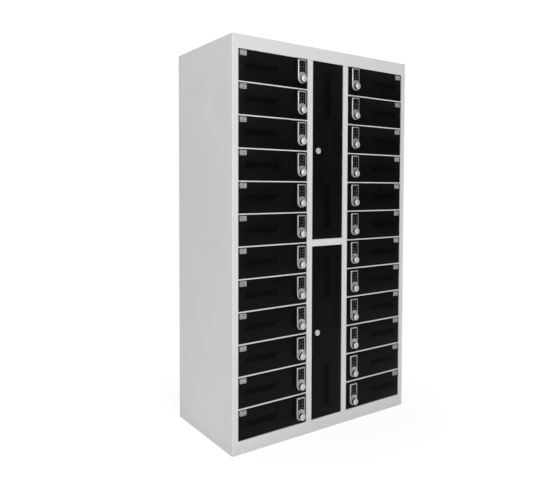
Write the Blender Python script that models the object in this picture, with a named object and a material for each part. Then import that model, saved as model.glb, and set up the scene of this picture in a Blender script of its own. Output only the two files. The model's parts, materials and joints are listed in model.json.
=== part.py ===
"""Phone charging kiosk: a sheet steel cabinet with two banks of keypad-lock compartments and a service bay.

Metres, +Z up. The front faces -Y, +X is to the right, and the origin is the middle of the base on the floor.
The doors are modelled shut, with every locking cam upright in its unlocked position.
"""

import math

import bmesh
import bpy
from mathutils import Matrix, Vector

# Cabinet
WIDTH = 1.000
DEPTH = 0.500
HEIGHT = 1.720
SHEET = 0.001
CORNER_RADIUS = 0.004
OUTER_STILE = 0.028
MID_STILE = 0.029
HEADER = 0.057
FOOTER = 0.055
SIDE_OPENING = 0.354
RETURN_DEPTH = 0.020
REAR_FLANGE = 0.025
REAR_PANEL_INSET = 0.003
GAP = 0.0003

# Compartments
ROWS = 12
BAR_HEIGHT = 0.0045
BAR_DEPTH = 0.021
COMPARTMENT_BACK = 0.080
CENTRE_RAIL = (0.841, 0.871)
RAIL_SHELF_BACK = 0.150

# Doors
DOOR_GAP = 0.0015
DOOR_RECESS = 0.002
DOOR_FLANGE = 0.015
PIVOT_INSET = 0.008
PIVOT_BEHIND = 0.004
PIN_RADIUS = 0.0025
PIN_REACH = 0.0034
PIN_HOLE_RADIUS = 0.0028

# Keypad locks of the compartment doors
LOCK_WIDTH = 0.045
LOCK_HEIGHT = 0.102
LOCK_THICKNESS = 0.015
LOCK_FROM_EDGE = 0.015
LOCK_FROM_TOP = 0.006
KNOB_RADIUS = 0.0145
KNOB_LENGTH = 0.014
KNOB_EDGE = 0.002
KNOB_FROM_BOTTOM = 0.0185
SPINDLE_RADIUS = 0.006
SPINDLE_HOLE_RADIUS = 0.0066
CAM_PLANE = 0.0205
CAM_THICKNESS = 0.0025
CAM_REACH = 0.045
CAM_TIP_RADIUS = 0.006
CAM_HUB_RADIUS = 0.009

# Cam locks of the service doors
SERVICE_LOCK_FROM_EDGE = 0.032
SERVICE_CAM_REACH = 0.0395
BOSS_RADIUS = 0.0135
BOSS_HEIGHT = 0.003
PLUG_RADIUS = 0.008
PLUG_HOLE_RADIUS = 0.0087

# Power unit that stands in the lower service bay
UNIT_SIZE = (0.130, 0.180, 0.320)
UNIT_FOOT = (0.180, 0.188, 0.003)
UNIT_CORNER_RADIUS = 0.003
UNIT_CENTRE_Y = 0.030

# Partition windows that join the wiring bays, as (lowest z, highest z)
WINDOW_Y = (0.095, 0.225)
WINDOWS = ((0.120, 0.760), (0.960, 1.600))

# Cable entry of the rear panel
ENTRY_PLACE = (0.380, 0.120)
ENTRY_RADIUS = 0.011
ENTRY_SLEEVE = 0.003
ENTRY_LENGTH = 0.012

FRONT = -DEPTH / 2
REAR = DEPTH / 2
SHELL_REAR = REAR - SHEET - GAP
OPENING_TOP = HEIGHT - HEADER
OPENING_BOTTOM = FOOTER
SIDE_OUTER = WIDTH / 2 - OUTER_STILE
SIDE_INNER = SIDE_OUTER - SIDE_OPENING
CENTRE_HALF = SIDE_INNER - MID_STILE
WEB_CENTRE = (SIDE_INNER + CENTRE_HALF) / 2
ROW_PITCH = (OPENING_TOP - OPENING_BOTTOM + BAR_HEIGHT) / ROWS
ROW_OPENING = ROW_PITCH - BAR_HEIGHT
RETURN_REAR = FRONT + RETURN_DEPTH
DOOR_FRONT = FRONT + DOOR_RECESS
PIVOT_Y = DOOR_FRONT + PIVOT_BEHIND
SIDE_PIVOT = SIDE_OUTER - DOOR_GAP - PIVOT_INSET
SERVICE_PIVOT = CENTRE_HALF - DOOR_GAP - PIVOT_INSET
DOOR_WIDTH = SIDE_OPENING - 2 * DOOR_GAP
DOOR_HEIGHT = ROW_OPENING - 2 * DOOR_GAP
SERVICE_WIDTH = 2 * (CENTRE_HALF - DOOR_GAP)
LOCK_RADIUS = LOCK_WIDTH / 2
KNOB_X = SIDE_INNER + DOOR_GAP + LOCK_FROM_EDGE + LOCK_RADIUS
LOCK_BOTTOM = DOOR_HEIGHT / 2 - LOCK_FROM_TOP - LOCK_HEIGHT
KNOB_Z = LOCK_BOTTOM + KNOB_FROM_BOTTOM

LOOKS = {
    "frame_powder_coat": ((0.69, 0.69, 0.69), 0.45, 0.0),
    "door_powder_coat": ((0.012, 0.012, 0.012), 0.55, 0.0),
    "liner_powder_coat": ((0.55, 0.55, 0.55), 0.50, 0.0),
    "nickel_plate": ((0.62, 0.62, 0.62), 0.28, 1.0),
    "unit_paint": ((0.20, 0.21, 0.22), 0.50, 0.0),
}


def clear_scene():
    """Remove every object that the open file holds."""
    for thing in list(bpy.data.objects):
        bpy.data.objects.remove(thing)


def make_looks():
    """Make one Principled material for each entry of LOOKS."""
    for name, (colour, roughness, metallic) in LOOKS.items():
        material = bpy.data.materials.new(name)
        material.use_nodes = True
        shader = material.node_tree.nodes["Principled BSDF"]
        shader.inputs["Base Color"].default_value = (*colour, 1.0)
        shader.inputs["Roughness"].default_value = roughness
        shader.inputs["Metallic"].default_value = metallic


def mesh_object(name, bm):
    """Turn a bmesh into a mesh object in the scene."""
    bmesh.ops.recalc_face_normals(bm, faces=bm.faces)
    mesh = bpy.data.meshes.new(name)
    bm.to_mesh(mesh)
    bm.free()
    thing = bpy.data.objects.new(name, mesh)
    bpy.context.scene.collection.objects.link(thing)
    return thing


def boxes(name, corners):
    """Make one object of plain boxes, each given by its lowest and highest corner."""
    bm = bmesh.new()
    for low, high in corners:
        low, high = Vector(low), Vector(high)
        size = high - low
        place = Matrix.Translation((low + high) / 2) @ Matrix.Diagonal((*size, 1.0))
        bmesh.ops.create_cube(bm, size=1.0, matrix=place)
    return mesh_object(name, bm)


def rod(name, start, end, radius, sides):
    """Make a closed round bar from start to end, which differ along Y or along Z only."""
    start, end = Vector(start), Vector(end)
    along = end - start
    turn = Vector((0, 0, 1)).rotation_difference(along).to_matrix().to_4x4()
    place = Matrix.Translation((start + end) / 2) @ turn
    bm = bmesh.new()
    bmesh.ops.create_cone(bm, cap_ends=True, segments=sides, radius1=radius, radius2=radius,
                          depth=along.length, matrix=place)
    return mesh_object(name, bm)


def prism(name, outline, start_y, end_y):
    """Extrude an outline of (x, z) points from start_y to end_y."""
    bm = bmesh.new()
    face = bm.faces.new([bm.verts.new((x, start_y, z)) for x, z in outline])
    grown = bmesh.ops.extrude_face_region(bm, geom=[face])
    moved = [item for item in grown["geom"] if isinstance(item, bmesh.types.BMVert)]
    bmesh.ops.translate(bm, vec=(0, end_y - start_y, 0), verts=moved)
    return mesh_object(name, bm)


def arc(centre, radius, first, last, steps):
    """Give (x, z) points along an arc, with angles in degrees from +X towards +Z."""
    angles = [math.radians(first + (last - first) * step / steps) for step in range(steps + 1)]
    return [(centre[0] + radius * math.cos(a), centre[1] + radius * math.sin(a)) for a in angles]


def round_edges(thing, wanted, radius, segments):
    """Bevel the edges of a mesh that the test picks."""
    bm = bmesh.new()
    bm.from_mesh(thing.data)
    edges = [edge for edge in bm.edges if wanted(edge)]
    bmesh.ops.bevel(bm, geom=edges, offset=radius, segments=segments, profile=0.5, affect="EDGES")
    bm.to_mesh(thing.data)
    bm.free()


def combine(base, joined=(), cut=()):
    """Union some solids onto a base, cut others out of it, and keep the result as plain mesh."""
    for operation, tools in (("UNION", joined), ("DIFFERENCE", cut)):
        for tool in tools:
            step = base.modifiers.new(operation.lower(), "BOOLEAN")
            step.operation = operation
            step.solver = "EXACT"
            step.object = tool
    bpy.context.view_layer.update()
    evaluated = base.evaluated_get(bpy.context.evaluated_depsgraph_get())
    base.data = bpy.data.meshes.new_from_object(evaluated)
    base.modifiers.clear()
    for tool in (*joined, *cut):
        bpy.data.objects.remove(tool)
    merge_flat_faces(base.data)
    return base


def merge_flat_faces(mesh):
    """Remove the seams that a Boolean leaves across flat faces."""
    bm = bmesh.new()
    bm.from_mesh(mesh)
    bmesh.ops.remove_doubles(bm, verts=bm.verts, dist=1e-6)
    bmesh.ops.dissolve_limit(bm, angle_limit=math.radians(0.1), verts=bm.verts, edges=bm.edges)
    bm.to_mesh(mesh)
    bm.free()


def finish(thing, look, origin=(0, 0, 0)):
    """Give an object its material, its smooth shading and its origin."""
    thing.data.transform(Matrix.Translation(-Vector(origin)))
    thing.location = origin
    thing.data.materials.clear()
    thing.data.materials.append(bpy.data.materials[look])
    thing.data.shade_smooth()
    thing.data.set_sharp_from_angle(angle=math.radians(35))
    return thing


def mirrored_mesh(mesh, name):
    """Copy a mesh reflected in X, with its faces still pointing out."""
    copy = mesh.copy()
    copy.name = name
    copy.transform(Matrix.Diagonal((-1, 1, 1, 1)))
    copy.flip_normals()
    return copy


def place_copy(name, mesh, location):
    """Add an object that uses a finished mesh."""
    thing = bpy.data.objects.new(name, mesh)
    thing.location = location
    bpy.context.scene.collection.objects.link(thing)
    return thing


def pin_hole(x, low, high):
    """Make the cutter of the hinge pin holes on one vertical hinge line."""
    return rod("pin_hole", (x, PIVOT_Y, low), (x, PIVOT_Y, high), PIN_HOLE_RADIUS, 8)


def build_shell():
    """Side panels, roof, base, header, footer and outer stiles, folded and welded as one body."""
    half = WIDTH / 2
    skin = boxes("cabinet_shell", [((-half, FRONT, 0), (half, SHELL_REAR, HEIGHT))])
    hollow = boxes("hollow", [((-half + SHEET, FRONT + SHEET, SHEET),
                               (half - SHEET, SHELL_REAR - SHEET, HEIGHT - SHEET))])

    def front_upright(edge):
        first, second = (vert.co for vert in edge.verts)
        upright = abs(first.z - second.z) > HEIGHT / 2
        return upright and max(first.y, second.y) < 0

    round_edges(skin, front_upright, CORNER_RADIUS, 3)
    round_edges(hollow, front_upright, CORNER_RADIUS - SHEET, 3)
    front_cut = boxes("front_cut", [((-SIDE_OUTER, FRONT - 0.01, OPENING_BOTTOM),
                                     (SIDE_OUTER, FRONT + 0.01, OPENING_TOP))])
    rear_cut = boxes("rear_cut", [((-half + REAR_FLANGE, SHELL_REAR - 0.01, REAR_FLANGE),
                                   (half - REAR_FLANGE, SHELL_REAR + 0.01, HEIGHT - REAR_FLANGE))])
    combine(skin, cut=(hollow, front_cut, rear_cut))
    collar = boxes("collar", [((-SIDE_OUTER - SHEET, FRONT + SHEET / 2, OPENING_BOTTOM - SHEET),
                               (SIDE_OUTER + SHEET, RETURN_REAR, OPENING_TOP + SHEET))])
    mouth = boxes("mouth", [((-SIDE_OUTER, FRONT - 0.01, OPENING_BOTTOM),
                             (SIDE_OUTER, RETURN_REAR + 0.01, OPENING_TOP))])
    low, high = OPENING_BOTTOM - 0.01, OPENING_TOP + 0.01
    holes = [pin_hole(x, low, high) for x in (-SIDE_PIVOT, SIDE_PIVOT, SERVICE_PIVOT)]
    combine(skin, joined=(collar,), cut=(mouth, *holes))
    return finish(skin, "frame_powder_coat")


def build_partition(name, side):
    """A mid stile folded as a channel, with the full-depth web behind it; side is -1 or 1."""
    inner, outer = side * CENTRE_HALF, side * SIDE_INNER
    web = side * WEB_CENTRE
    low, high = OPENING_BOTTOM + GAP, OPENING_TOP - GAP
    rear = SHELL_REAR - SHEET - GAP

    def across(first, second):
        return min(first, second), max(first, second)

    face = across(inner, outer)
    body = boxes(name, [((face[0], FRONT, low), (face[1], FRONT + SHEET, high))])
    fold = SHEET / 2
    inner_x = across(inner, inner + side * SHEET)
    outer_x = across(outer, outer - side * SHEET)
    returns = boxes("returns", [((inner_x[0], FRONT + fold, low), (inner_x[1], RETURN_REAR, high)),
                                ((outer_x[0], FRONT + fold, low), (outer_x[1], RETURN_REAR, high))])
    web_x = (web - SHEET / 2, web + SHEET / 2)
    front_web = boxes("front_web", [((web_x[0], FRONT + fold, low), (web_x[1], 0, high))])
    full_web = boxes("full_web", [((web_x[0], RETURN_REAR + GAP, SHEET + GAP),
                                   (web_x[1], rear, HEIGHT - SHEET - GAP))])
    windows = boxes("windows", [((web_x[0] - 0.01, WINDOW_Y[0], bottom), (web_x[1] + 0.01, WINDOW_Y[1], top))
                                for bottom, top in WINDOWS])
    combine(body, joined=(returns, front_web, full_web), cut=(windows,))
    return finish(body, "frame_powder_coat")


def row_top(row):
    """Height of the top of a compartment's opening, with row 0 at the top."""
    return OPENING_TOP - row * ROW_PITCH


def build_rack(name, side):
    """Compartment floors, their front bars and the back wall, welded as one body; side is -1 or 1."""
    reach = (WEB_CENTRE + SHEET / 2 + GAP, WIDTH / 2 - SHEET - GAP)
    mouth = (SIDE_INNER + GAP, SIDE_OUTER - GAP)
    x_low, x_high = sorted(side * value for value in reach)
    bar_low, bar_high = sorted(side * value for value in mouth)
    plate_front = FRONT + BAR_DEPTH
    wall = boxes(name, [((x_low, COMPARTMENT_BACK, SHEET + GAP),
                         (x_high, COMPARTMENT_BACK + SHEET, HEIGHT - SHEET - GAP))])
    floors = [row_top(row) + BAR_HEIGHT for row in range(1, ROWS)]
    floors += [OPENING_BOTTOM, OPENING_TOP + SHEET]
    plates = boxes("plates", [((x_low, plate_front, top - SHEET), (x_high, COMPARTMENT_BACK + SHEET / 2, top))
                              for top in floors])
    bars = boxes("bars", [((bar_low, FRONT, row_top(row)),
                           (bar_high, plate_front + SHEET, row_top(row) + BAR_HEIGHT))
                          for row in range(1, ROWS)])
    hole = pin_hole(side * SIDE_PIVOT, OPENING_BOTTOM + 0.02, OPENING_TOP - 0.02)
    combine(wall, joined=(plates, bars), cut=(hole,))
    return finish(wall, "liner_powder_coat")


def build_centre_rail():
    """The folded rail between the two service doors, and the bay's shelf behind it."""
    low, high = CENTRE_RAIL
    mouth = CENTRE_HALF - GAP
    bay = WEB_CENTRE - SHEET / 2 - GAP
    face = boxes("centre_rail", [((-mouth, FRONT, low), (mouth, FRONT + SHEET, high))])
    folds = boxes("folds", [((-mouth, FRONT + SHEET / 2, low), (mouth, RETURN_REAR + SHEET, low + SHEET)),
                            ((-mouth, FRONT + SHEET / 2, high - SHEET), (mouth, RETURN_REAR, high))])
    shelf = boxes("shelf", [((-bay, RETURN_REAR + GAP, low), (bay, RAIL_SHELF_BACK, low + SHEET))])
    hole = pin_hole(SERVICE_PIVOT, low - 0.01, high + 0.01)
    combine(face, joined=(folds, shelf), cut=(hole,))
    return finish(face, "frame_powder_coat")


def build_rear_panel():
    """The flat cover that closes the back, with a sleeve for the mains cable."""
    x, z = WIDTH / 2 - REAR_PANEL_INSET, 2 * REAR_PANEL_INSET
    panel = boxes("rear_panel", [((-x, REAR - SHEET, z), (x, REAR, HEIGHT - z))])
    entry_x, entry_z = ENTRY_PLACE
    sleeve = rod("sleeve", (entry_x, REAR - ENTRY_LENGTH, entry_z), (entry_x, REAR - SHEET / 2, entry_z),
                 ENTRY_RADIUS + ENTRY_SLEEVE, 20)
    hole = rod("entry_hole", (entry_x, REAR - 0.03, entry_z), (entry_x, REAR + 0.01, entry_z),
               ENTRY_RADIUS, 20)
    combine(panel, joined=(sleeve,), cut=(hole,))
    return finish(panel, "frame_powder_coat")


def build_power_unit():
    """The open-backed case of the power supply that stands on the base of the service bay."""
    (width, depth, height), (foot_width, foot_depth, foot_height) = UNIT_SIZE, UNIT_FOOT
    floor = SHEET + GAP
    front, rear = UNIT_CENTRE_Y - depth / 2, UNIT_CENTRE_Y + depth / 2
    case = boxes("power_unit", [((-width / 2, front, floor), (width / 2, rear, floor + height))])

    def upright(edge):
        return abs(edge.verts[0].co.z - edge.verts[1].co.z) > height / 2

    round_edges(case, upright, UNIT_CORNER_RADIUS, 3)
    foot = boxes("foot", [((-foot_width / 2, UNIT_CENTRE_Y - foot_depth / 2, floor),
                           (foot_width / 2, UNIT_CENTRE_Y + foot_depth / 2, floor + foot_height))])
    inside = boxes("inside", [((-width / 2 + SHEET, front + SHEET, floor + foot_height),
                               (width / 2 - SHEET, rear + 0.01, floor + height - SHEET))])
    combine(case, joined=(foot,), cut=(inside,))
    return finish(case, "unit_paint")


def door_pan(name, x_low, x_high, half_height):
    """A tray with turned-back edges, open to the rear, centred in height on z = 0."""
    rear = DOOR_FRONT + DOOR_FLANGE
    pan = boxes(name, [((x_low, DOOR_FRONT, -half_height), (x_high, rear, half_height))])
    inside = boxes("inside", [((x_low + SHEET, DOOR_FRONT + SHEET, -half_height + SHEET),
                               (x_high - SHEET, rear + 0.01, half_height - SHEET))])
    return combine(pan, cut=(inside,))


def hinge_pins(x, half_height):
    """The two pins that turn in the frame above and below a door."""
    reach = half_height + PIN_REACH
    fold = half_height - SHEET / 2
    return [rod("pin", (x, PIVOT_Y, sign * fold), (x, PIVOT_Y, sign * reach), PIN_RADIUS, 8)
            for sign in (-1, 1)]


def compartment_door_mesh():
    """The left-hand compartment door, hinged on its left, with its lock housing on the right."""
    pan = door_pan("door_left", -SIDE_OUTER + DOOR_GAP, -SIDE_INNER - DOOR_GAP, DOOR_HEIGHT / 2)
    round_end = arc((-KNOB_X, LOCK_BOTTOM + LOCK_RADIUS), LOCK_RADIUS, 180, 360, 10)
    top = DOOR_HEIGHT / 2 - LOCK_FROM_TOP
    corner = 0.003
    square_end = arc((-KNOB_X + LOCK_RADIUS - corner, top - corner), corner, 0, 90, 2)
    square_end += arc((-KNOB_X - LOCK_RADIUS + corner, top - corner), corner, 90, 180, 2)
    housing = prism("housing", round_end + square_end, DOOR_FRONT - LOCK_THICKNESS, DOOR_FRONT + SHEET / 2)
    hole = rod("spindle_hole", (-KNOB_X, DOOR_FRONT - 0.03, KNOB_Z), (-KNOB_X, DOOR_FRONT + 0.01, KNOB_Z),
               SPINDLE_HOLE_RADIUS, 12)
    combine(pan, joined=(housing, *hinge_pins(-SIDE_PIVOT, DOOR_HEIGHT / 2)), cut=(hole,))
    finish(pan, "door_powder_coat", origin=(-SIDE_PIVOT, PIVOT_Y, 0))
    mesh = pan.data
    bpy.data.objects.remove(pan)
    return mesh


def cam_outline(reach):
    """A locking cam that points up from its hub, as (x, z) points around the spindle's axis."""
    tip = (0, reach - CAM_TIP_RADIUS)
    lean = math.degrees(math.asin((CAM_HUB_RADIUS - CAM_TIP_RADIUS) / tip[1]))
    outline = arc(tip, CAM_TIP_RADIUS, lean, 180 - lean, 4)
    return outline + arc((0, 0), CAM_HUB_RADIUS, 180 - lean, 360 + lean, 6)


def turning_lock_mesh(name, head_front, head_rear, head_radius, spindle_radius, reach, edge):
    """A lock's turning part around the Y axis: its head, its spindle and its cam."""
    cam_front = DOOR_FRONT + CAM_PLANE
    head = rod(name, (0, head_rear, 0), (0, head_front, 0), head_radius, 16)
    round_edges(head, lambda e: all(v.co.y < (head_front + head_rear) / 2 for v in e.verts), edge, 1)
    spindle = rod("spindle", (0, head_rear - 0.001, 0), (0, cam_front + CAM_THICKNESS / 2, 0),
                  spindle_radius, 8)
    cam = prism("cam", cam_outline(reach), cam_front, cam_front + CAM_THICKNESS)
    combine(head, joined=(spindle, cam))
    finish(head, "nickel_plate")
    mesh = head.data
    bpy.data.objects.remove(head)
    return mesh


def build_compartment_doors():
    """Twelve doors on each side with their turning knobs, numbered from the top."""
    left = compartment_door_mesh()
    meshes = {"left": left, "right": mirrored_mesh(left, "door_right")}
    housing_front = DOOR_FRONT - LOCK_THICKNESS
    knob = turning_lock_mesh("knob", housing_front - GAP - KNOB_LENGTH, housing_front - GAP,
                             KNOB_RADIUS, SPINDLE_RADIUS, CAM_REACH, KNOB_EDGE)
    for side, sign in (("left", -1), ("right", 1)):
        for row in range(ROWS):
            middle = row_top(row) - ROW_OPENING / 2
            number = f"{row + 1:02d}"
            place_copy(f"door_{side}_{number}", meshes[side], (sign * SIDE_PIVOT, PIVOT_Y, middle))
            place_copy(f"knob_{side}_{number}", knob, (sign * KNOB_X, 0, middle + KNOB_Z))


def build_service_door(name, low, high):
    """A tall door of the service bay, hinged on its right, with the boss of its cam lock on the left."""
    half_height = (high - low) / 2 - DOOR_GAP
    middle = (high + low) / 2
    lock_x = -SERVICE_WIDTH / 2 + SERVICE_LOCK_FROM_EDGE
    pan = door_pan(name, -SERVICE_WIDTH / 2, SERVICE_WIDTH / 2, half_height)
    boss = rod("boss", (lock_x, DOOR_FRONT - BOSS_HEIGHT, 0), (lock_x, DOOR_FRONT + SHEET / 2, 0),
               BOSS_RADIUS, 20)
    hole = rod("plug_hole", (lock_x, DOOR_FRONT - 0.02, 0), (lock_x, DOOR_FRONT + 0.01, 0),
               PLUG_HOLE_RADIUS, 20)
    combine(pan, joined=(boss, *hinge_pins(SERVICE_PIVOT, half_height)), cut=(hole,))
    finish(pan, "door_powder_coat", origin=(SERVICE_PIVOT, PIVOT_Y, 0))
    pan.location.z = middle
    return Vector((lock_x, 0, middle))


def build_service_doors():
    """The two service doors with the turning plugs of their cam locks."""
    plug = turning_lock_mesh("plug", DOOR_FRONT - BOSS_HEIGHT, DOOR_FRONT + 0.004,
                             PLUG_RADIUS, SPINDLE_RADIUS, SERVICE_CAM_REACH, 0.0005)
    spans = {"upper": (CENTRE_RAIL[1], OPENING_TOP), "lower": (OPENING_BOTTOM, CENTRE_RAIL[0])}
    for which, (low, high) in spans.items():
        place = build_service_door(f"service_door_{which}", low, high)
        place_copy(f"service_plug_{which}", plug, place)


def main():
    clear_scene()
    make_looks()
    build_shell()
    for side, sign in (("left", -1), ("right", 1)):
        build_partition(f"partition_{side}", sign)
        build_rack(f"rack_{side}", sign)
    build_centre_rail()
    build_rear_panel()
    build_power_unit()
    build_compartment_doors()
    build_service_doors()


main()
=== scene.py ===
"""Finished model of a phone charging kiosk, laid out as a Blender add-on.

A pale powder-coated steel cabinet holds two banks of black compartment doors with keypad locks, and a narrow
service bay with two tall doors between them. Metres, +Z up, front towards -Y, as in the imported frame.
"""

import json
import math

import bmesh
import bpy
from bpy.props import FloatProperty, FloatVectorProperty, IntProperty, PointerProperty
from mathutils import Matrix, Vector


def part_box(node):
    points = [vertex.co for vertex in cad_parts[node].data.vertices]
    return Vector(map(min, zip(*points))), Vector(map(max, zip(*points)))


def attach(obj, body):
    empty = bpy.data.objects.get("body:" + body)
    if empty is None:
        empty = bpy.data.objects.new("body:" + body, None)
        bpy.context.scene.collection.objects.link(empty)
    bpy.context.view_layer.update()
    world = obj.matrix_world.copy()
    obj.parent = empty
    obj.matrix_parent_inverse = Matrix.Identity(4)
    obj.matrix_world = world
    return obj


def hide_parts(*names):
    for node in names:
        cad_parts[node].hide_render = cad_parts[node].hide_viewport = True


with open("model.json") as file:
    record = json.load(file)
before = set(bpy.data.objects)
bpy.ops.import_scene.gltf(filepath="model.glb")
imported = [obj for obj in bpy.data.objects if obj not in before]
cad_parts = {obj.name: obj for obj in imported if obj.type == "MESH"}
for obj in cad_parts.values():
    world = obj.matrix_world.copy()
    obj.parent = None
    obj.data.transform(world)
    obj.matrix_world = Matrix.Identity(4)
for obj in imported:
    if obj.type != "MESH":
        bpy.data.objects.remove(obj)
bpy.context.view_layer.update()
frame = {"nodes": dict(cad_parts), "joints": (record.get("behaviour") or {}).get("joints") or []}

bl_info = {
    "name": "Phone Charging Kiosk",
    "version": (1, 0, 0),
    "blender": (4, 5, 0),
    "location": "View3D > Sidebar > Kiosk",
    "description": "Builds the finished pieces, coats and stage of a phone charging kiosk",
    "category": "Add Mesh",
}

JOINTS = {joint["name"]: joint for joint in frame["joints"]}
SIDES = {"left": -1, "right": 1}
ROWS = 12

FLOOR_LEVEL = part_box("cabinet_shell")[0].z
LEAF_LOW, LEAF_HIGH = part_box("door_right_01")
KNOB_LOW, KNOB_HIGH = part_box("knob_right_01")
PIVOT = Vector(JOINTS["door_right_01_hinge"]["pos_m"])
SPINDLE = Vector(JOINTS["knob_right_01_turn"]["pos_m"])
ROW_PITCH = PIVOT.z - JOINTS["door_right_02_hinge"]["pos_m"][2]

# Sizes that the finished doors and locks share with the frame
PIN_REACH = 0.0034
PIN_RADIUS = 0.0025
PIVOT_BEHIND = 0.004
LEAF_DEPTH = 0.015
LEAF_FRONT = PIVOT.y - PIVOT_BEHIND
LEAF_HALF_HEIGHT = (LEAF_HIGH.z - LEAF_LOW.z) / 2 - PIN_REACH
HOUSING_FRONT = LEAF_LOW.y
LOCK_RADIUS = 0.0225
LOCK_HEIGHT = 0.102
LOCK_BOTTOM = SPINDLE.z - 0.0185
LOCK_TOP = LOCK_BOTTOM + LOCK_HEIGHT
WINDOW_TOP = LOCK_TOP - 0.0055
LOCK_GAP = 0.0004
SPINDLE_RADIUS = 0.006
CAM_THICKNESS = 0.0025

# Working distances: merged points, a paper-thin step between two faces, and a cutter's run past its piece
TINY = 1e-6
SKIN = 0.0001
THROUGH = 0.01


# ---------------------------------------------------------------- sizes and colours that a user may change

def length(name, about, default, low, high):
    """A size in metres."""
    return FloatProperty(name=name, description=about, default=default, min=low, max=high, unit="LENGTH")


def fraction(name, about, default):
    """A value from 0 to 1."""
    return FloatProperty(name=name, description=about, default=default, min=0, max=1)


def amount(name, about, default, low, high):
    """A whole number."""
    return IntProperty(name=name, description=about, default=default, min=low, max=high)


def tint(name, about, default):
    """A colour."""
    return FloatVectorProperty(name=name, description=about, default=default, min=0, max=1, subtype="COLOR")


def power(name, about, default):
    """A lamp's power in watts."""
    return FloatProperty(name=name, description=about, default=default, min=0, max=2000, unit="POWER")


class KioskCoats(bpy.types.PropertyGroup):
    """Colours and gloss of the finishes."""

    frame_colour: tint("Frame coat", "Powder coat of the cabinet", (0.66, 0.66, 0.66))
    door_colour: tint("Door coat", "Powder coat of every door", (0.0025, 0.0025, 0.0026))
    plated_colour: tint("Plated metal", "Knobs, bezels and cam locks", (0.8, 0.8, 0.79))
    frame_roughness: fraction("Frame roughness", "Roughness of the cabinet's coat", 0.5)
    door_roughness: fraction("Door roughness", "Roughness of the doors' coat", 0.42)
    edge_radius: length("Edge radius", "Rounding of folded and cut sheet edges", 0.00035, 0.0001, 0.001)


class KioskLeaves(bpy.types.PropertyGroup):
    """Compartment doors and their slanted vent slots."""

    sheet: length("Sheet", "Thickness of the doors' sheet", 0.001, 0.0008, 0.003)
    fold_radius: length("Fold radius", "Outer radius of the doors' folds", 0.0014, 0.0005, 0.003)
    slots: amount("Slots", "Vent slots in a door", 12, 1, 40)
    slot_pitch: length("Slot pitch", "Distance from slot to slot", 0.01328, 0.005, 0.05)
    slot_length: length("Slot length", "Length along the slant", 0.0315, 0.01, 0.08)
    slot_width: length("Slot width", "Width across a slot", 0.0052, 0.001, 0.01)
    slot_lean: FloatProperty(name="Slot lean", description="Angle of a slot from upright",
                             default=math.radians(29), min=0, max=1.2, unit="ROTATION")
    first_slot: length("First slot", "First slot's middle from the hinge edge", 0.0419, 0.01, 0.2)


class KioskServiceLeaves(bpy.types.PropertyGroup):
    """Tall doors of the service bay and their stacks of level vent slots."""

    slots: amount("Slots", "Vent slots in one stack", 18, 1, 60)
    slot_pitch: length("Slot pitch", "Distance from slot to slot", 0.011, 0.005, 0.05)
    slot_length: length("Slot length", "Length of a slot across the door", 0.035, 0.01, 0.15)
    slot_width: length("Slot width", "Height of a slot", 0.0045, 0.001, 0.01)
    stack_margin: length("Stack margin", "Door's end to the middle of the nearest slot", 0.0515, 0.02, 0.2)


class KioskLocks(bpy.types.PropertyGroup):
    """Keypad locks of the compartment doors."""

    bezel: length("Bezel thickness", "Thickness of the plated bezel", 0.0028, 0.002, 0.005)
    window_width: length("Keypad width", "Width of the keypad's window", 0.0345, 0.02, 0.04)
    window_height: length("Keypad height", "Height of the keypad's window at its sides", 0.055, 0.03, 0.06)
    columns: amount("Key columns", "Columns of keys", 2, 2, 4)
    rows: amount("Key rows", "Rows of keys", 3, 2, 6)
    key_width: length("Key width", "Width of one key", 0.0125, 0.004, 0.03)
    key_height: length("Key height", "Height of one key", 0.0116, 0.004, 0.03)
    figure: length("Key figure", "Height of the figure on a key", 0.0052, 0.002, 0.02)


class KioskPlates(bpy.types.PropertyGroup):
    """Number plates in the doors' outer top corners."""

    width: length("Width", "Width of a plate", 0.032, 0.01, 0.1)
    height: length("Height", "Height of a plate", 0.021, 0.01, 0.1)
    thickness: length("Thickness", "Thickness of a plate", 0.0012, 0.0005, 0.003)
    side_margin: length("Side margin", "From the door's side to the plate", 0.0065, 0.001, 0.02)
    top_margin: length("Top margin", "From the door's top to the plate", 0.0032, 0.001, 0.02)
    figure: length("Figure", "Height of the figures", 0.0125, 0.004, 0.03)


class KioskStage(bpy.types.PropertyGroup):
    """Floor, light and camera."""

    floor_tone: fraction("Floor tone", "Brightness of the floor", 0.85)
    overhead: fraction("Overhead", "Strength of the even light from above", 0.5)
    horizon: fraction("Horizon", "Strength of the light near the horizon", 0.02)
    front_power: power("Front light", "Power of the soft light in front", 100)
    side_power: power("Side light", "Power of the soft light on the left", 50)
    lens: FloatProperty(name="Lens", description="Focal length", default=36.0, min=10, max=200,
                        subtype="DISTANCE_CAMERA")


SIZE_GROUPS = {
    "kiosk_coats": KioskCoats,
    "kiosk_leaves": KioskLeaves,
    "kiosk_service_leaves": KioskServiceLeaves,
    "kiosk_locks": KioskLocks,
    "kiosk_plates": KioskPlates,
    "kiosk_stage": KioskStage,
}


# ---------------------------------------------------------------- finishes

def add_node(tree, kind, values=None, links=None, **settings):
    """Add a node, set its unlinked inputs and wire outputs of earlier nodes into it."""
    made = tree.nodes.new(kind)
    for key, value in settings.items():
        setattr(made, key, value)
    for key, value in (values or {}).items():
        made.inputs[key].default_value = value
    for key, socket in (links or {}).items():
        tree.links.new(socket, made.inputs[key])
    return made


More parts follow.
